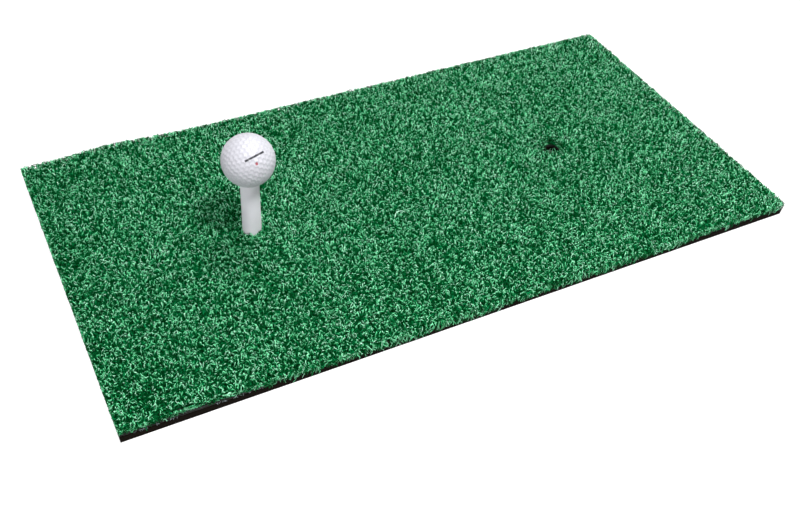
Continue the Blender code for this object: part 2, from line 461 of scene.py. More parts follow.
def ring_plate(name, rings, holes, outline_step, edge_wave, rng, material):
    """A flat plate as a closed mesh. rings are (z, inset) down the outer edge, top to
    bottom. Each hole is (x, y, [(z, radius), ...]) down its wall, top to bottom.
    edge_wave is how far the cut edge wanders in and out, as a cut sheet's does."""
    bm = bmesh.new()

    def outline(inset, wave):
        nx = max(2, int(round(2 * HALF_X / outline_step)))
        ny = max(2, int(round(2 * HALF_Y / outline_step)))
        points = []
        corners = [(-1, -1), (1, -1), (1, 1), (-1, 1)]
        for side in range(4):
            (ax, ay), (bx, by) = corners[side], corners[(side + 1) % 4]
            n = nx if side % 2 == 0 else ny
            for i in range(n):
                t = i / n
                x = (ax + (bx - ax) * t) * (HALF_X - inset)
                y = (ay + (by - ay) * t) * (HALF_Y - inset)
                points.append([x, y])
        points = np.array(points)
        normal = np.zeros_like(points)
        normal[np.abs(points[:, 1]) > HALF_Y - inset - 1e-9, 1] = 1
        normal[np.abs(points[:, 0]) > HALF_X - inset - 1e-9, 0] = 1
        normal *= -np.sign(points)
        return points + normal * wave[: len(points), None]

    count = 2 * (
        max(2, int(round(2 * HALF_X / outline_step)))
        + max(2, int(round(2 * HALF_Y / outline_step)))
    )
    raw = rng.random(count)
    kernel = np.array([1, 2, 3, 2, 1]) / 9.0
    slow = np.convolve(np.concatenate([raw[-2:], raw, raw[:2]]), kernel, "valid")
    loops = []
    for z, inset in rings:
        wave = edge_wave * (0.6 * slow + 0.4 * rng.random(count))
        loops.append(
            [bm.verts.new((x, y, z)) for x, y in outline(inset, wave)]
        )

    def wall(upper, lower, outward=True):
        n = len(upper)
        for i in range(n):
            j = (i + 1) % n
            quad = (upper[i], lower[i], lower[j], upper[j])
            bm.faces.new(quad if outward else quad[::-1])

    for a, b in zip(loops, loops[1:]):
        wall(a, b)
    top_edges, bottom_edges = [], []

    def edges_of(loop):
        found = []
        for i, v in enumerate(loop):
            w = loop[(i + 1) % len(loop)]
            edge = bm.edges.get((v, w)) or bm.edges.new((v, w))
            found.append(edge)
        return found

    top_edges += edges_of(loops[0])
    bottom_edges += edges_of(loops[-1])
    for x, y, profile in holes:
        walls = []
        for z, radius in profile:
            walls.append(
                [
                    bm.verts.new(
                        (
                            x + radius * math.cos(2 * math.pi * i / 72),
                            y + radius * math.sin(2 * math.pi * i / 72),
                            z,
                        )
                    )
                    for i in range(72)
                ]
            )
        for a, b in zip(walls, walls[1:]):
            wall(a, b, outward=False)
        top_edges += edges_of(walls[0])
        bottom_edges += edges_of(walls[-1])
    bmesh.ops.triangle_fill(bm, edges=top_edges, use_beauty=True, normal=(0, 0, 1))
    bmesh.ops.triangle_fill(bm, edges=bottom_edges, use_beauty=True, normal=(0, 0, -1))
    bmesh.ops.recalc_face_normals(bm, faces=bm.faces)
    for along, places in (((1, 0, 0), WAVE_X), ((0, 1, 0), WAVE_Y)):
        for place in places:
            bmesh.ops.bisect_plane(
                bm,
                geom=bm.verts[:] + bm.edges[:] + bm.faces[:],
                plane_co=(place * along[0], place * along[1], 0),
                plane_no=along,
                dist=1e-6,
            )
    bmesh.ops.triangulate(bm, faces=bm.faces)
    for vertex in bm.verts:
        vertex.co.z += float(lift_off_floor(vertex.co.x, vertex.co.y))
    mesh = bpy.data.meshes.new(name)
    bm.to_mesh(mesh)
    bm.free()
    obj = bpy.data.objects.new(name, mesh)
    bpy.context.scene.collection.objects.link(obj)
    mesh.materials.append(material)
    mesh.shade_smooth()
    mesh.set_sharp_from_angle(angle=math.radians(35))
    return obj


def turned_mesh(name, profile, angles, x, y, material, wobble=None):
    """A closed profile of (radius, z) turned about a vertical axis at (x, y)."""
    count, steps = len(profile), len(angles)
    radius = np.array([r for r, _ in profile])[None, :]
    height = np.array([z for _, z in profile])[None, :]
    angle = np.array(angles)[:, None]
    grown = radius + (wobble(angle, radius, height) if wobble else 0.0)
    verts = np.stack(
        [
            x + grown * np.cos(angle),
            y + grown * np.sin(angle),
            height + 0 * angle,
        ],
        -1,
    ).reshape(-1, 3)
    corners = []
    for i in range(steps):
        j = (i + 1) % steps
        for k in range(count):
            m = (k + 1) % count
            corners += [i * count + k, i * count + m, j * count + m, j * count + k]
    obj = mesh_object(name, verts, corners, [4] * (steps * count))
    bm = bmesh.new()
    bm.from_mesh(obj.data)
    bmesh.ops.recalc_face_normals(bm, faces=bm.faces)
    bm.to_mesh(obj.data)
    bm.free()
    obj.data.materials.append(material)
    obj.data.set_sharp_from_angle(angle=math.radians(50))
    return obj


# ------------------------------------------------------------------ camera, lights, floor
camera_data = bpy.data.cameras.new("camera")
camera_data.sensor_width = 36.0
camera_data.lens = 44.507
camera_data.clip_start = 0.01
camera = bpy.data.objects.new("camera", camera_data)
bpy.context.scene.collection.objects.link(camera)
right = Vector((0.8889708, -0.45389992, 0.06087518))
up = Vector((0.27536868, 0.63599686, 0.7208884))
forward = Vector((0.36592761, 0.62408562, -0.69037245))
camera.matrix_world = Matrix(
    (
        (right.x, up.x, -forward.x, -0.34183),
        (right.y, up.y, -forward.y, -0.57675),
        (right.z, up.z, -forward.z, 0.56957),
        (0, 0, 0, 1),
    )
)
bpy.context.scene.camera = camera

floor_mesh = bpy.data.meshes.new("floor")
floor_mesh.from_pydata(
    [(-6, -6, -0.0002), (6, -6, -0.0002), (6, 6, -0.0002), (-6, 6, -0.0002)],
    [],
    [(0, 1, 2, 3)],
)
floor = bpy.data.objects.new("floor", floor_mesh)
bpy.context.scene.collection.objects.link(floor)
floor_nodes = Nodes("pale_floor")
floor_nodes.set(Roughness=0.9)
floor_nodes.shader.inputs["Base Color"].default_value = (0.24, 0.24, 0.24, 1.0)
floor_nodes.shader.inputs["Specular IOR Level"].default_value = 0.1
# the floor glows only where the mat doesn't cover it; the unlit patch under the mat is a painted shadow, seen when
# the mat is lifted
floor_axes = floor_nodes.node("ShaderNodeSeparateXYZ")
floor_nodes.link(floor_nodes.object_coords(), floor_axes.inputs[0])
clear_x, clear_y = (
    floor_nodes.map_range(floor_nodes.math("ABSOLUTE", floor_axes.outputs[axis]), half - 0.07, half, 0.0, 1.0)
    for axis, half in (("X", HALF_X), ("Y", HALF_Y))
)
glow = floor_nodes.ramp(
    floor_nodes.math("MAXIMUM", clear_x, clear_y), [(0.0, (0.0, 0.0, 0.0)), (1.0, (1.0, 1.0, 1.0))]
)
floor_nodes.link(glow, floor_nodes.shader.inputs["Emission Color"])
floor_nodes.shader.inputs["Emission Strength"].default_value = 0.96
floor_mesh.materials.append(floor_nodes.material)

world = bpy.data.worlds.new("studio")
bpy.context.scene.world = world
world.use_nodes = True
world.node_tree.nodes["Background"].inputs["Color"].default_value = (1, 1, 1, 1)
world.node_tree.nodes["Background"].inputs["Strength"].default_value = 0.08
backdrop = world.node_tree.nodes.new("ShaderNodeBackground")
backdrop.inputs["Color"].default_value = (1, 1, 1, 1)
backdrop.inputs["Strength"].default_value = 1.0
rays = world.node_tree.nodes.new("ShaderNodeLightPath")
either = world.node_tree.nodes.new("ShaderNodeMixShader")
world.node_tree.links.new(rays.outputs["Is Camera Ray"], either.inputs[0])
world.node_tree.links.new(world.node_tree.nodes["Background"].outputs[0], either.inputs[1])
world.node_tree.links.new(backdrop.outputs[0], either.inputs[2])
world.node_tree.links.new(either.outputs[0], world.node_tree.nodes["World Output"].inputs["Surface"])
bpy.context.scene.view_settings.view_transform = "Standard"
bpy.context.scene.view_settings.look = "None"


def soft_light(name, direction, distance, size, power, colour=(1, 1, 1), nearer=1.0):
    """A round lamp. nearer draws it in towards the ball and shrinks it to suit, so the
    ball is lit the same and the far end of the mat differently."""
    data = bpy.data.lights.new(name, "AREA")
    data.shape = "DISK"
    data.size = size * nearer
    data.energy = power * nearer**2
    data.color = colour
    lamp = bpy.data.objects.new(name, data)
    bpy.context.scene.collection.objects.link(lamp)
    target = Vector((TEE_X * 0.3, 0.0, 0.0))
    lamp.location = target + Vector(direction).normalized() * distance
    middle = Vector((BALL_X, BALL_Y, BALL_Z))
    lamp.location = middle + (lamp.location - middle) * nearer
    lamp.rotation_euler = (
        (target - lamp.location).to_track_quat("-Z", "Y").to_euler()
    )
    return lamp


soft_light("key_front", (0.16, -0.37, 0.91), 3.0, 0.60, 94.0, nearer=0.5)
soft_light("key_back", (0.30, 0.25, 0.92), 3.0, 0.60, 70.0, nearer=0.5)
soft_light("left_low", (-0.90, -0.10, 0.30), 3.0, 0.80, 31.0, (0.98, 0.965, 1.0))
soft_light("front_high", (-0.25, -0.80, 0.50), 3.0, 0.80, 12.5, (1.0, 0.965, 1.0))
soft_light("front_low", (-0.30, -0.92, 0.15), 3.0, 0.80, 8.0, (1.0, 0.965, 1.0))
soft_light("right_low", (0.60, -0.75, 0.15), 3.0, 0.80, 8.0)

# ------------------------------------------------------------------ turf
PLATE_LOW = foam_hi.z - 0.00005
rng = np.random.default_rng(20240611)


def sheet_holes(z_top, z_low):
    return [
        (TEE_X, TEE_Y, [(z_top, HOLE_R), (z_low, HOLE_R)]),
        (SPARE_X, SPARE_Y, [(z_top, HOLE_R), (z_low, HOLE_R)]),
    ]


glue = ring_plate(
    "glue_layer",
    [(glue_hi.z + 0.00015, 0.0004), (PLATE_LOW, 0.0004)],
    sheet_holes(glue_hi.z + 0.00015, PLATE_LOW),
    0.002,
    0.0005,
    rng,
    glue_material(),
)
latex = ring_plate(
    "latex_layer",
    [
        (latex_hi.z + 0.00015, 0.0002),
        ((latex_lo.z + latex_hi.z) / 2, 0.0),
        (glue_hi.z + 0.00013, 0.0003),
    ],
    sheet_holes(latex_hi.z + 0.00015, glue_hi.z + 0.00013),
    0.002,
    0.0005,
    rng,
    latex_material(),
)
woven = ring_plate(
    "woven_layer",
    [(woven_hi.z + 0.0001, 0.0003), (latex_hi.z + 0.00013, 0.0002)],
    sheet_holes(woven_hi.z + 0.0001, latex_hi.z + 0.00013),
    0.0015,
    0.0006,
    rng,
    woven_material(),
)
for piece, node, slot in (
    (glue, "glue_film", "hot_melt_glue"),
    (latex, "latex_backcoat", "latex_coat"),
    (woven, "woven_backing", "woven_tape"),
):
    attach(piece, "mat")
    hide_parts(node)

# Tufts stand in rows along the mat, a gauge apart, a few fibres to a tuft.
GAUGE = 0.0028
STITCH = 0.0024
FIBRES_PER_TUFT = 5
ROOT_Z = woven_hi.z
PILE = MAT_TOP - ROOT_Z
FIBRE_HALF_WIDTH = 0.00031
FIBRE_HALF_THICK = 0.00012
LEVELS = np.array([0.0, 0.50, 0.90, 1.0, 0.93])
STEPS = np.array([0.0005, 0.0008, 0.0012, 0.0009])

# How far above the floor the pile hangs down to over the front edge: little at the
# left end, most of the way in the middle, less again at the right end.
HANG_X = (
    -0.300, -0.266, -0.245, -0.222, -0.200, -0.177, -0.153, -0.103,
    -0.077, -0.050, 0.030, 0.120, 0.184, 0.217, 0.252, 0.300,
)
HANG_Z = (
    0.0095, 0.0097, 0.0130, 0.0115, 0.0086, 0.0062, 0.0052, 0.0043,
    0.0020, 0.0032, 0.0038, 0.0034, 0.0038, 0.0078, 0.0082, 0.0048,
)
HANG_OUT = (
    0.0003, 0.0002, 0.0002, 0.0003, 0.0006, 0.0011, 0.0014, 0.0018,
    0.0019, 0.0019, 0.0019, 0.0018, 0.0018, 0.0010, 0.0010, 0.0012,
)


# The pile leans in over the spare hole from both sides at the back, which leaves an
# opening like a rounded triangle with its base to the front.
LEAN_ANGLE = np.radians((-53, -23, 7, 37, 67, 97, 127, 157, 187, 217, 247, 277, 307))
LEAN_RADIUS = (
    0.0074, 0.0058, 0.0047, 0.0056, 0.0080, 0.0056, 0.0047,
    0.0058, 0.0074, 0.0072, 0.0069, 0.0072, 0.0074,
)


def lean_radius(x, y):
    """How close to the middle of the spare hole the pile's tips reach, by direction."""
    return np.interp(np.arctan2(y, x), LEAN_ANGLE, LEAN_RADIUS, period=2 * math.pi)


def push_out(points, x, y, radius, half):
    """Moves points that are inside a circle out to it, in plan."""
    d = points[..., :2] - np.array([x, y])
    r = np.linalg.norm(d, axis=-1)
    inside = r < radius + half
    scale = np.where(inside, (radius + half) / np.maximum(r, 1e-6), 1.0)
    out = points.copy()
    out[..., :2] = np.array([x, y]) + d * scale[..., None]
    return out


def ragged(rng, u, shortest, longest, terms=14):
    """A smooth uneven line along u, about -1 to 1, from waves of many lengths."""
    total = 0.0
    for k in range(terms):
        length = math.exp(rng.uniform(math.log(shortest), math.log(longest)))
        total = total + np.sin(2 * math.pi * u / length + rng.uniform(0, 2 * math.pi))
    return total / math.sqrt(terms / 2) * 0.75


def mixed_shades(rng, count, pale_share):
    """The yarn's two greens: which strands are pale, and how light each strand is
    within its own green."""
    return np.stack([rng.random(count) < pale_share, rng.random(count)], 1)


def field_fibres(rng):
    """The tufts all over the mat. Returns paths, how deep each point lies and how
    pale each fibre is."""
    rows = np.arange(-HALF_Y + 0.0009, HALF_Y - 0.0006, GAUGE)
    cols = np.arange(-HALF_X + 0.0009, HALF_X - 0.0006, STITCH)
    gx, gy = np.meshgrid(cols, rows)
    gx = gx + (np.arange(len(rows)) % 2)[:, None] * STITCH * 0.5
    tufts = np.stack([gx.ravel(), gy.ravel()], 1)
    tufts += rng.normal(0, 0.00035, tufts.shape)
    tufts = np.clip(
        tufts,
        [-HALF_X + 0.0006, -HALF_Y + 0.0006],
        [HALF_X - 0.0006, HALF_Y - 0.0006],
    )
    for x, y in ((TEE_X, TEE_Y), (SPARE_X, SPARE_Y)):
        tufts = tufts[np.hypot(tufts[:, 0] - x, tufts[:, 1] - y) > HOLE_R + 0.0003]
    # the pile is thin in places along the front edge, where the knife took tufts
    from_front = tufts[:, 1] + HALF_Y
    worn = 0.75 * ragged(rng, tufts[:, 0], 0.006, 0.040)
    worn = worn + 0.75 * np.exp(-(((tufts[:, 0] + 0.238) / 0.026) ** 2))
    worn = np.clip(worn, 0, 0.92)
    lost = rng.random(len(tufts)) < worn * np.clip(1.15 - from_front / 0.0045, 0, 1)
    tufts = tufts[~lost]
    roots = np.repeat(tufts, FIBRES_PER_TUFT, 0)
    n = len(roots)
    roots = roots + rng.normal(0, 0.00050, roots.shape)
    paths = np.zeros((n, 5, 3))
    paths[:, 0, :2] = roots
    paths[:, 0, 2] = ROOT_Z
    # slow height changes over the mat, as worn and brushed turf has
    patchy = 0.0
    for k in range(6):
        w = rng.normal(0, 1, 2)
        w = w / np.linalg.norm(w) * rng.uniform(18, 70)
        patchy = patchy + np.sin(roots @ w + rng.uniform(0, 6.28)) / 6
    rank = rng.random(n)
    height = PILE * np.clip(0.66 + 0.34 * rank + 0.05 * patchy, 0.45, 1.08)
    angle = rng.uniform(0, 2 * np.pi, n)
    for k in range(1, 5):
        if k > 1:
            angle = angle + rng.normal(0, 0.95, n)
        step = STEPS[k - 1] * rng.uniform(0.55, 1.45, n)
        paths[:, k, 0] = paths[:, k - 1, 0] + step * np.cos(angle)
        paths[:, k, 1] = paths[:, k - 1, 1] + step * np.sin(angle)
        paths[:, k, 2] = ROOT_Z + height * LEVELS[k]
    paths[:, 3, 2] += rng.normal(0, 0.00030, n)
    paths[:, 4, 2] += rng.normal(-0.0001, 0.0008, n)
    paths[:, 1:] = push_out(paths[:, 1:], TEE_X, TEE_Y, STEM_FOOT_R, 0.00045)
    # over the spare hole only the tips lean in
    for k, part in ((1, 0.0), (2, 0.15), (3, 0.7), (4, 1.0)):
        tip = lean_radius(paths[:, k, 0] - SPARE_X, paths[:, k, 1] - SPARE_Y)
        radius = HOLE_R + (tip - HOLE_R) * part + rng.uniform(-0.0004, 0.0007, n)
        paths[:, k] = push_out(paths[:, k], SPARE_X, SPARE_Y, radius, 0.0)
    # the sheet's edges are cut straight through the pile
    for axis, half in ((0, HALF_X), (1, HALF_Y)):
        over = np.abs(paths[:, 1:, axis]) - half
        limit = 0.0003
        held = np.where(over > 0, half + limit * np.tanh(over / limit), half + over)
        paths[:, 1:, axis] = np.sign(paths[:, 1:, axis]) * held
        paths[:, 1:, 2] -= np.clip(over, 0, 0.0016) * 0.5
    paths[:, 1:, 2] = np.maximum(paths[:, 1:, 2], ROOT_Z + 0.0004)
    depth = np.clip((paths[:, :, 2] - ROOT_Z) / PILE, 0, 1)
    # painted shade round the spare hole: strands there are darkened, most on the hole's back side, where its far
    # wall lies in shadow
    near = np.hypot(paths[:, 0, 0] - SPARE_X, paths[:, 0, 1] - SPARE_Y) - HOLE_R
    back = np.cos(np.arctan2(paths[:, 0, 1] - SPARE_Y, paths[:, 0, 0] - SPARE_X) - 1.17)
    near = np.clip(1.6 - near / 0.0020, 0, 1)[:, None]
    depth = depth * (1 - near * (0.35 + 0.58 * np.clip(back, 0, 1)[:, None]))
    # taller strands are more often pale: painted light on the top of the pile
    return paths, depth, mixed_shades(rng, n, 0.12 + 0.41 * rank)


def ring_fibres(rng, x, y, count, root_r, tip_r, heights, around=(0.0, 2 * math.pi), pale=0.32):
    """Fibres round a hole that lean in over it."""
    a = rng.uniform(*around, count)
    root = rng.uniform(*root_r, count)
    tip = rng.uniform(*tip_r, count)
    height = PILE * rng.uniform(*heights, count)
    paths = np.zeros((count, 5, 3))
    turn = rng.normal(0, 0.10, count)
    for k, (part, level) in enumerate(((0, 0), (0.15, 0.42), (0.5, 0.80), (0.85, 1.0), (1.0, 0.99))):
        r = root + (tip - root) * part + rng.normal(0, 0.00012, count) * (k > 0)
        if k > 1:
            a = a + turn + rng.normal(0, 0.05, count)
        paths[:, k, 0] = x + r * np.cos(a)
        paths[:, k, 1] = y + r * np.sin(a)
        paths[:, k, 2] = ROOT_Z + height * level
    paths[:, 4, 2] += rng.normal(0, 0.0005, count)
    depth = np.clip((paths[:, :, 2] - ROOT_Z) / PILE, 0, 1)
    return paths, depth, mixed_shades(rng, count, pale)


def edge_fibres(rng, count, side):
    """Fibres at a cut edge. They rise from the backing, go over the edge and hang
    down it, curling as they go. side is the edge's outward direction."""
    front = side == (0, -1)
    along_half, out_half = (HALF_X, HALF_Y) if side[0] == 0 else (HALF_Y, HALF_X)
    u = rng.uniform(-along_half + 0.0006, along_half - 0.0006, count)
    uneven = ragged(rng, u, 0.005, 0.030)
    if front:
        # the left third is cut more raggedly than the rest
        wild = np.interp(u, (-0.30, -0.27, -0.18, -0.14), (0.9, 1.6, 1.6, 0.9))
        low = np.interp(u, HANG_X, HANG_Z)
        low += (0.0005 + 0.0011 * np.clip(wild - 0.9, 0, 1)) * uneven
        low += wild * (0.0009 * ragged(rng, u, 0.003, 0.009) + rng.normal(0, 0.0003, count))
        single = rng.random(count) < 0.16 * np.clip(wild - 0.6, 0, 1)
        low -= single * rng.uniform(0.0015, 0.0060, count)
        out = np.interp(u, HANG_X, HANG_OUT)
    else:
        low = 0.0088 + 0.0006 * uneven
        out = np.full(count, 0.00025)
    low = np.maximum(low, 0.0008)
    top = MAT_TOP - rng.uniform(0.0004, 0.0036, count)
    end = low + np.maximum(top - low, 0) * rng.random(count) ** 1.7
    inner = rng.uniform(0.0004, 0.0026, count)
    reach = rng.uniform(0.45, 1.1, count) * out
    steps = 8
    o = np.zeros((count, steps))
    z = np.zeros((count, steps))
    along = np.zeros((count, steps))
    along[:, 0] = u
    o[:, 0], z[:, 0] = -inner, ROOT_Z
    o[:, 1], z[:, 1] = -inner * 0.8, ROOT_Z + (top - ROOT_Z) * 0.62
    o[:, 2], z[:, 2] = -inner * 0.3, top
    for k in range(3, steps):
        t = (k - 2) / (steps - 3)
        bulge = math.sin(math.pi * (0.18 + 0.62 * t))
        o[:, k] = reach * bulge + rng.normal(0, 0.00022, count)
        z[:, k] = top + (end - top) * t + rng.normal(0, 0.00055, count)
    o[:, 3] = np.minimum(o[:, 3], reach * 0.8 + 0.0001)
    z = np.minimum(z, MAT_TOP + 0.0004)
    z[:, 3:] = np.maximum(z[:, 3:], (low - 0.0004)[:, None])
    drift = rng.normal(0, 0.0007, count)
    for k in range(1, steps):
        drift = 0.35 * drift + rng.normal(0, 0.0009, count)
        along[:, k] = along[:, k - 1] + drift * (0.4 if k < 3 else 1.0)
    along = np.clip(along, -along_half, along_half)
    o[:, 3:] = np.maximum(o[:, 3:], 0.0001)
    paths = np.zeros((count, steps, 3))
    if side[0] == 0:
        paths[:, :, 0] = along
        paths[:, :, 1] = side[1] * (out_half + o)
    else:
        paths[:, :, 1] = along
        paths[:, :, 0] = side[0] * (out_half + o)
    paths[:, :, 2] = z
    # painted shade: each hanging strand is darker at its root, and some strands are darkened all along
    depth = np.tile(np.array([0.0, 0.5, 0.88, 0.98, 0.95, 0.92, 0.9, 0.9]), (count, 1))
    depth *= rng.uniform(0.50, 1.04, count)[:, None]
    return paths, np.clip(depth, 0, 1), mixed_shades(rng, count, 0.36)


def fibre_mesh_arrays(paths, rng, half_width=FIBRE_HALF_WIDTH, half_thick=FIBRE_HALF_THICK):
    """Each fibre is a point at its root, three rings of three points, flat on one
    side and ridged on the other, and a point at its tip."""
    n, m = paths.shape[:2]
    tangent = np.zeros_like(paths)
    tangent[:, 1:-1] = paths[:, 2:] - paths[:, :-2]
    tangent[:, 0] = paths[:, 1] - paths[:, 0]
    tangent[:, -1] = paths[:, -1] - paths[:, -2]
    tangent /= np.linalg.norm(tangent, axis=-1, keepdims=True) + 1e-12
    # a flat tape bends over its thin side, so its width lies across the way it leans
    lean = paths[:, 3] - paths[:, 1]
    side = np.stack([-lean[:, 1], lean[:, 0], 0 * lean[:, 0]], 1)
    side /= np.linalg.norm(side, axis=-1, keepdims=True) + 1e-12
    side += rng.normal(0, 0.30, (n, 3))
    side -= (side * tangent[:, 0]).sum(-1, keepdims=True) * tangent[:, 0]
    side /= np.linalg.norm(side, axis=-1, keepdims=True) + 1e-12
    width = half_width * rng.uniform(0.75, 1.25, n)
    thick = half_thick * rng.uniform(0.8, 1.3, n)
    rings = np.zeros((n, m - 2, 3, 3))
    for k in range(m - 1):
        side = side - (side * tangent[:, k]).sum(-1, keepdims=True) * tangent[:, k]
        side /= np.linalg.norm(side, axis=-1, keepdims=True) + 1e-12
        if k == 0:
            continue
        other = np.cross(tangent[:, k], side)
        w, t = width[:, None], thick[:, None]
        rings[:, k - 1, 0] = paths[:, k] + side * w - other * t * 0.5
        rings[:, k - 1, 1] = paths[:, k] - side * w - other * t * 0.5
        rings[:, k - 1, 2] = paths[:, k] + other * t * 1.2
    per = 2 + 3 * (m - 2)
    verts = np.zeros((n, per, 3))
    verts[:, 0] = paths[:, 0]
    verts[:, 1:-1] = rings.reshape(n, -1, 3)
    verts[:, -1] = paths[:, -1]
    # around each ring 0 -> 2 -> 1 is anticlockwise seen from the tip
    order = (0, 2, 1)
    corners, totals = [], []
    for j in range(3):
        corners += [0, 1 + order[(j + 1) % 3], 1 + order[j]]
        totals.append(3)
    for k in range(m - 3):
        base = 1 + 3 * k
        for j in range(3):
            a, b = base + order[j], base + order[(j + 1) % 3]
            corners += [a, b, b + 3, a + 3]
            totals.append(4)
    base = 1 + 3 * (m - 3)
    for j in range(3):
        corners += [base + order[j], base + order[(j + 1) % 3], per - 1]
        totals.append(3)
    return verts, np.array(corners), np.array(totals)


def fibre_set(groups, rng):
    """Mesh arrays of fibres that have the same number of points, with the green and
    depth of each, and each fibre's root."""
    paths = np.concatenate([g[0] for g in groups])
    depths = np.concatenate([g[1] for g in groups])
    pales = np.concatenate([g[2] for g in groups])
    paths[..., 2] += lift_off_floor(paths[..., 0], paths[..., 1])
    verts, corners, totals = fibre_mesh_arrays(paths, rng)
    depth = np.concatenate(
        [depths[:, :1], np.repeat(depths[:, 1:-1], 3, 1), depths[:, -1:]], 1
    )
    return verts, corners, totals, depth, pales, paths[:, 0]


sets = [
    fibre_set(
        [
            field_fibres(rng),
            ring_fibres(rng, TEE_X, TEE_Y, 330, (0.0088, 0.0100), (0.0083, 0.0088), (0.75, 1.08)),
            ring_fibres(rng, TEE_X, TEE_Y, 70, (0.0088, 0.0100), (0.00825, 0.0085), (1.05, 1.50)),
            ring_fibres(rng, SPARE_X, SPARE_Y, 30, (0.0088, 0.0100), (0.0046, 0.0070), (0.55, 0.95), (1.7, 2.7)),
            ring_fibres(rng, SPARE_X, SPARE_Y, 30, (0.0088, 0.0100), (0.0046, 0.0070), (0.55, 0.95), (-0.4, 0.6)),
            ring_fibres(rng, SPARE_X, SPARE_Y, 40, (0.0088, 0.0100), (0.0066, 0.0076), (0.45, 0.80), (3.3, 5.4)),
            ring_fibres(rng, SPARE_X, SPARE_Y, 4, (0.0088, 0.0094), (0.0010, 0.0040), (0.50, 0.80), (3.3, 4.9), 1.0),
        ],
        rng,
    ),
    fibre_set(
        [
            edge_fibres(rng, 2100, (0, -1)),
            edge_fibres(rng, 1500, (0, 1)),
            edge_fibres(rng, 800, (-1, 0)),
            edge_fibres(rng, 800, (1, 0)),
        ],
        rng,
    ),
]
fibre_count = 0


def turf_patches(kind, pale, columns, rows, material):
    """The strands of one green, as one piece for each patch of the mat."""
    total = 0
    for i in range(columns):
        for j in range(rows):
            points, loops, counts, shades, depths = [], [], [], [], []
            used = 0
            for verts, corners, totals, depth, pales, roots in sets:
                column = ((roots[:, 0] + HALF_X) / (2 * HALF_X) * columns).astype(int)
                row = ((roots[:, 1] + HALF_Y) / (2 * HALF_Y) * rows).astype(int)
                here = (np.clip(column, 0, columns - 1) == i) & (np.clip(row, 0, rows - 1) == j)
                pick = np.nonzero(here & ((pales[:, 0] > 0.5) == pale))[0]
                per = verts.shape[1]
                points.append(verts[pick].reshape(-1, 3))
                loops.append((corners[None, :] + (np.arange(len(pick)) * per)[:, None]).ravel() + used)
                counts.append(np.tile(totals, len(pick)))
                shades.append(np.repeat(pales[pick, 1], per))
                depths.append(depth[pick].ravel())
                used += len(pick) * per
                total += len(pick)
            patch = mesh_object(
                "%s_fibres_%d_%d" % (kind, i + 1, j + 1),
                np.concatenate(points),
                np.concatenate(loops),
                np.concatenate(counts),
            )
            for name, values in (("shade", shades), ("depth", depths)):
                attribute_of_mesh = patch.data.attributes.new(name, "FLOAT", "POINT")
                attribute_of_mesh.data.foreach_set("value", np.concatenate(values).astype(np.float32))
            patch.data.materials.append(material)
            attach(patch, "mat")
            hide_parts("turf_pile")
    return total


fibre_count += turf_patches("deep_turf", False, 5, 3, deep_fibre_material())
pale_material = pale_fibre_material()
fibre_count += turf_patches("pale_turf", True, 4, 2, pale_material)


def loose_strand():
    """One longer pale strand that lies in a hook on top of the pile, near the middle."""
    path = np.array(
        [
            (-0.0325, -0.0347, 0.0146),
            (-0.0305, -0.0325, 0.0153),
            (-0.0288, -0.0303, 0.0158),
            (-0.0263, -0.0294, 0.0162),
            (-0.0236, -0.0295, 0.0163),
            (-0.0216, -0.0311, 0.0161),
            (-0.0206, -0.0331, 0.0153),
        ]
    )[None]
    path[..., 2] += lift_off_floor(path[..., 0], path[..., 1])
    verts, corners, totals = fibre_mesh_arrays(path, np.random.default_rng(5), 0.00046, 0.00016)
    strand = mesh_object("loose_strand", verts.reshape(-1, 3), np.array(corners), np.array(totals))
    for name, value in (("shade", 1.0), ("depth", 1.0)):
        values = np.full(verts.shape[1], value, np.float32)
        strand.data.attributes.new(name, "FLOAT", "POINT").data.foreach_set("value", values)
    strand.data.materials.append(pale_material)
    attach(strand, "mat")
    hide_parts("turf_pile")


loose_strand()


def thread_material():
    m = Nodes("frayed_backing_thread")
    colour = m.ramp(
        m.noise(m.object_coords(), 700.0, 2.0),
        [(0.35, (0.05, 0.07, 0.07)), (0.65, (0.30, 0.35, 0.37))],
    )
    m.link(colour, m.shader.inputs["Base Color"])
    m.set(Roughness=0.55)
    m.shader.inputs["Specular IOR Level"].default_value = 0.3
    return m.material


def frayed_threads(rng, clumps=15, each=4):
    """Ends of the backing's threads that the knife left standing out of the front
    edge, most of them near the left corner."""
    places = np.concatenate([rng.uniform(-0.294, -0.185, clumps - 6), rng.uniform(-0.16, 0.29, 6)])
    u = np.repeat(places, each) + rng.normal(0, 0.0018, clumps * each)
    count = len(u)
    paths = np.zeros((count, 5, 3))
    paths[:, 0] = np.stack([u, np.full(count, -HALF_Y + 0.0008), np.full(count, woven_hi.z - 0.0002)], 1)
    heading = rng.normal(0, 1.0, count)
    for k in range(1, 5):
        heading = heading + rng.normal(0, 0.7, count)
        step = rng.uniform(0.0004, 0.0010, count)
        paths[:, k, 0] = paths[:, k - 1, 0] + step * np.sin(heading)
        paths[:, k, 1] = -HALF_Y - rng.uniform(0.0002, 0.0007, count) * (0.6 + 0.2 * k)
        paths[:, k, 2] = paths[:, k - 1, 2] - step * (0.35 + 0.3 * np.cos(heading))
    paths[..., 2] += lift_off_floor(paths[..., 0], paths[..., 1])
    verts, corners, totals = fibre_mesh_arrays(paths, rng, 0.00017, 0.00010)
    per = verts.shape[1]
    return mesh_object(
        "frayed_backing_threads",
        verts.reshape(-1, 3),
        (corners[None, :] + (np.arange(count) * per)[:, None]).ravel(),
        np.tile(totals, count),
    )


frayed = frayed_threads(rng)
frayed.data.materials.append(thread_material())
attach(frayed, "mat")
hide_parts("woven_backing")


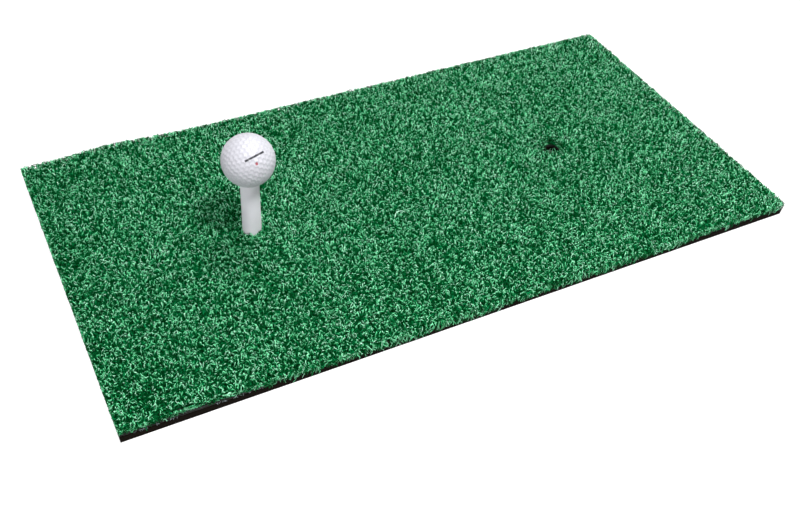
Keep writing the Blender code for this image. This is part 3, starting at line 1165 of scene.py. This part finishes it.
def turf_bed(rng, pitch=0.0020):
    """The dense lower pile as one lumpy sheet with both tee holes, closed below."""
    nx, ny = int(round(2 * HALF_X / pitch)), int(round(2 * HALF_Y / pitch))
    gx = np.linspace(-HALF_X + 0.0010, HALF_X - 0.0010, nx + 1)
    gy = np.linspace(-HALF_Y + 0.0020, HALF_Y - 0.0010, ny + 1)
    x, y = np.meshgrid(gx, gy)
    y[0] += np.abs(0.0014 * ragged(rng, gx, 0.006, 0.030))
    y[0] += 0.0024 * np.exp(-(((gx + 0.238) / 0.026) ** 2))
    y[1] = np.maximum(y[1], y[0] + 0.0004)
    y[2] = np.maximum(y[2], y[1] + 0.0004)
    inner = (slice(3, -1), slice(1, -1))
    for grid in (x, y):
        jitter = np.zeros_like(grid)
        jitter[inner] = rng.normal(0, pitch * 0.18, jitter[inner].shape)
        grid += jitter
    z = ROOT_Z + 0.0019 + rng.normal(0, 0.00055, x.shape)
    radius = HOLE_R + 0.0004
    keep = np.ones((ny, nx), bool)
    for hx, hy in ((TEE_X, TEE_Y), (SPARE_X, SPARE_Y)):
        cx = (x[:-1, :-1] + x[1:, 1:]) / 2
        cy = (y[:-1, :-1] + y[1:, 1:]) / 2
        keep &= np.hypot(cx - hx, cy - hy) > radius
    index = np.arange((nx + 1) * (ny + 1)).reshape(ny + 1, nx + 1)
    used = np.zeros(index.shape, int)
    for dy in (0, 1):
        for dx in (0, 1):
            used[dy : dy + ny, dx : dx + nx] += keep
    for hx, hy in ((TEE_X, TEE_Y), (SPARE_X, SPARE_Y)):
        r = np.hypot(x - hx, y - hy)
        rim = (used > 0) & (used < 4) & (r < radius + 2.5 * pitch)
        x = np.where(rim, hx + (x - hx) * radius / np.maximum(r, 1e-6), x)
        y = np.where(rim, hy + (y - hy) * radius / np.maximum(r, 1e-6), y)
    a = index[:-1, :-1][keep]
    b = index[:-1, 1:][keep]
    c = index[1:, 1:][keep]
    d = index[1:, :-1][keep]
    quads = np.stack([a, b, c, d], 1)
    top = np.stack([x.ravel(), y.ravel(), (z + lift_off_floor(x, y)).ravel()], 1)
    under = top.copy()
    under[:, 2] = (ROOT_Z + 0.00025 + lift_off_floor(x, y)).ravel()
    total = len(top)
    edges = np.concatenate([quads[:, [0, 1]], quads[:, [1, 2]], quads[:, [2, 3]], quads[:, [3, 0]]])
    key = edges[:, 0].astype(np.int64) * total + edges[:, 1]
    back = edges[:, 1].astype(np.int64) * total + edges[:, 0]
    rim_edges = edges[~np.isin(key, back)]
    walls = np.stack(
        [rim_edges[:, 1], rim_edges[:, 0], rim_edges[:, 0] + total, rim_edges[:, 1] + total], 1
    )
    faces = np.concatenate([quads, quads[:, ::-1] + total, walls])
    points = np.concatenate([top, under])
    live = np.unique(faces)
    remap = np.zeros(len(points), int)
    remap[live] = np.arange(len(live))
    return mesh_object(
        "turf_bed", points[live], remap[faces].ravel(), np.full(len(faces), 4)
    )


bed = turf_bed(rng)
bed.data.materials.append(bed_material())
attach(bed, "mat")
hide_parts("turf_pile")

# ------------------------------------------------------------------ foam base
foam_black = foam_material()
foam = ring_plate(
    "foam_slab",
    [
        (foam_hi.z, 0.00035),
        (foam_hi.z - 0.0003, 0.00005),
        (foam_hi.z * 0.62, 0.0),
        (foam_hi.z * 0.30, 0.0),
        (0.0003, 0.00005),
        (foam_lo.z, 0.00035),
    ],
    [
        (x, y, [(foam_hi.z, HOLE_R), (RECESS_DEPTH, HOLE_R), (RECESS_DEPTH, RECESS_R), (foam_lo.z, RECESS_R)])
        for x, y in ((TEE_X, TEE_Y), (SPARE_X, SPARE_Y))
    ],
    0.0018,
    0.00022,
    rng,
    foam_black,
)
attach(foam, "mat")
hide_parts("foam_base")

# ------------------------------------------------------------------ rubber tee
def tee_profile():
    """(radius, z) round the section: rim, outside, flange, underside, bore, dish."""
    top = tee_hi.z
    rim = STEM_TOP_R - DISH_R
    points = []
    for i in range(7):
        a = math.pi / 2 * (1 - i / 6)
        points.append((DISH_R + rim * math.cos(a), top - rim + rim * math.sin(a)))
    low = FLANGE_TOP + 0.0010
    for i in range(1, 19):
        t = i / 18
        points.append((STEM_TOP_R + (STEM_FOOT_R - STEM_TOP_R) * t, top - rim + (low - top + rim) * t))
    for i in range(1, 5):  # fillet into the flange
        a = math.pi / 2 * i / 4
        points.append((STEM_FOOT_R + 0.0010 * (1 - math.cos(a)), low - 0.0010 * math.sin(a)))
    inner, outer = STEM_FOOT_R + 0.0010, FLANGE_R - 0.0008
    for i in range(1, 13):  # the flange thins outwards, with two shallow moulded rings
        t = i / 12
        ring = 0.00010 if i in (5, 9) else 0.0
        points.append((inner + (outer - inner) * t, FLANGE_TOP + (FLANGE_RIM - FLANGE_TOP) * t - ring))
    for i in range(1, 5):
        a = math.pi / 2 * (1 - i / 4)
        points.append((FLANGE_R - 0.0006 + 0.0006 * math.cos(a), FLANGE_RIM - 0.0006 + 0.0006 * math.sin(a)))
    points += [(FLANGE_R, 0.0002), (FLANGE_R - 0.0002, 0.0)]
    for i in range(1, 7):
        points.append((FLANGE_R - 0.0002 + (BORE_FOOT_R + 0.0004 - FLANGE_R + 0.0002) * i / 6, 0.0))
    seat = top - DISH_RISE
    for i in range(13):
        t = i / 12
        points.append((BORE_FOOT_R + (BORE_TOP_R - BORE_FOOT_R) * t, 0.0004 + (seat - 0.0006) * t))
    points.append((BORE_TOP_R + 0.0002, seat))
    for i in range(1, 4):
        t = i / 4
        points.append((BORE_TOP_R + 0.0002 + (DISH_R - BORE_TOP_R - 0.0002) * t, seat + DISH_RISE * t * t))
    return points


def tee_wobble(angle, radius, height):
    """A fine parting line on two sides, and walls that aren't perfectly round."""
    outside = (radius > STEM_TOP_R - 0.0001) & (height > FLANGE_TOP)
    line = np.exp(-((((angle - 0.4) % math.pi) - 0.0) / 0.012) ** 2)
    soft = 0.00004 * np.sin(2 * angle + 130 * height) + 0.00003 * np.sin(3 * angle - 90 * height)
    return np.where(outside, 0.00006 * line + soft, 0.0)


tee_angles = sorted(
    set(round(2 * math.pi * i / 112, 6) for i in range(112))
    | set(round((0.4 + half + d) % (2 * math.pi), 6) for half in (0, math.pi) for d in (-0.014, 0.0, 0.014))
)
tee = turned_mesh("tee_moulding", tee_profile(), tee_angles, TEE_X, TEE_Y, tee_material(), tee_wobble)
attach(tee, "tee")
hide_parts("rubber_tee")

# ------------------------------------------------------------------ ball
MARK_OUT = Vector((-0.015, -0.720, 0.695)).normalized()
MARK_SLANT = Vector((0.975, 0.145, 0.170))
MARK_ALONG = (MARK_SLANT - MARK_OUT * MARK_SLANT.dot(MARK_OUT)).normalized()


DIMPLES = 392
DIMPLE_R = 0.00200
DIMPLE_DEPTH = 0.00058


def dimple_centres(count, rounds=160):
    """Evenly spread points on a sphere: a spiral, then pushed apart."""
    i = np.arange(count) + 0.5
    z = 1 - 2 * i / count
    phi = i * math.pi * (3 - math.sqrt(5))
    r = np.sqrt(1 - z * z)
    p = np.stack([r * np.cos(phi), r * np.sin(phi), z], 1)
    for step in range(rounds):
        d = p[:, None] - p[None]
        q = (d**2).sum(-1) + np.eye(count)
        push = (d / q[..., None] ** 2.5).sum(1)
        push -= (push * p).sum(-1, keepdims=True) * p
        longest = np.linalg.norm(push, axis=1).max()
        p = p + push / longest * 0.02 * (1 - step / rounds)
        p /= np.linalg.norm(p, axis=1, keepdims=True)
    return p


def dimpled_ball(name, radius, subdivisions, material):
    bm = bmesh.new()
    bmesh.ops.create_icosphere(bm, subdivisions=subdivisions, radius=1.0)
    mesh = bpy.data.meshes.new(name)
    bm.to_mesh(mesh)
    bm.free()
    co = np.zeros(len(mesh.vertices) * 3, np.float32)
    mesh.vertices.foreach_get("co", co)
    co = co.reshape(-1, 3).astype(float)
    co /= np.linalg.norm(co, axis=1, keepdims=True)
    centres = dimple_centres(DIMPLES)
    depth = np.zeros(len(co))
    for start in range(0, len(co), 4000):
        c = co[start : start + 4000] @ centres.T
        first = np.arccos(np.clip(c.max(1), -1, 1)) * radius
        x = np.clip(first / DIMPLE_R, 0, 1)
        depth[start : start + 4000] = DIMPLE_DEPTH * (1 - x**2) ** 0.7
    co *= (radius - depth)[:, None]
    mesh.vertices.foreach_set("co", co.astype(np.float32).ravel())
    mesh.update()
    mesh.shade_smooth()
    hollow = mesh.attributes.new("dimple", "FLOAT", "POINT")
    hollow.data.foreach_set("value", (depth / DIMPLE_DEPTH).astype(np.float32))
    obj = bpy.data.objects.new(name, mesh)
    bpy.context.scene.collection.objects.link(obj)
    mesh.materials.append(material)
    return obj


ball = dimpled_ball("ball_cover", BALL_R, 6, ball_material())
ball.location = (BALL_X, BALL_Y, BALL_Z)
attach(ball, "ball")
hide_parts("ball_cover_upper", "ball_cover_lower")
core = frame["nodes"]["ball_core"]
core.data.materials.clear()
core.data.materials.append(core_material())
